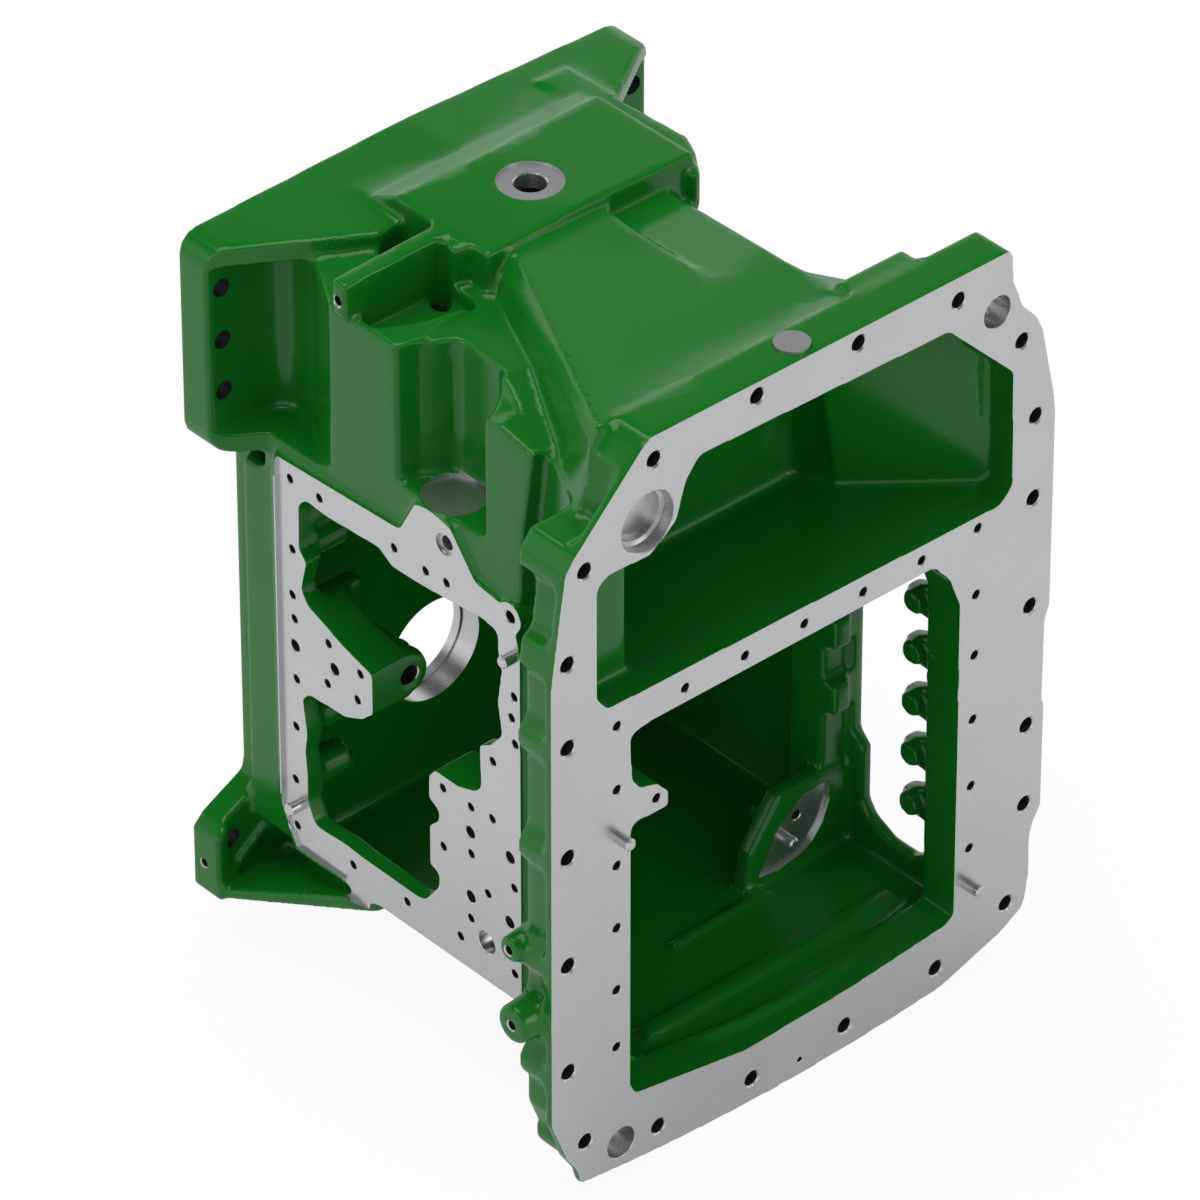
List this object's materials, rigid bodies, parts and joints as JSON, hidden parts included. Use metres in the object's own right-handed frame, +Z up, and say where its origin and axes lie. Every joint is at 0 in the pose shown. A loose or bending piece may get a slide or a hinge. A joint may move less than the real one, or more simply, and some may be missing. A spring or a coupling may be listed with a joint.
{
  "type": "gearbox housing",
  "caption": "Cast hollow gearbox housing with a two-window front flange, stepped side opening with machined pad, sloping neck and wide rear bracket.",
  "frame": {"origin": "centre of the part's footprint, at the height of the surface it stands on", "axes": "+Z up, +Y from the front flange face towards the rear mounting face, +X to the part's right when it is seen from the front flange"},
  "size_m": [0.562, 0.493, 0.717],
  "materials": {
    "casting": "gloss green paint, machined faces bare",
    "pin_steel": "ground"
  },
  "bodies": {
    "root": {"housing_casting": "casting", "dowel_front_left": "pin_steel", "dowel_front_right": "pin_steel", "dowel_side_upper": "pin_steel", "dowel_side_lower": "pin_steel", "dowel_bulkhead": "pin_steel", "core_plug": "pin_steel"}
  },
  "joints": []
}
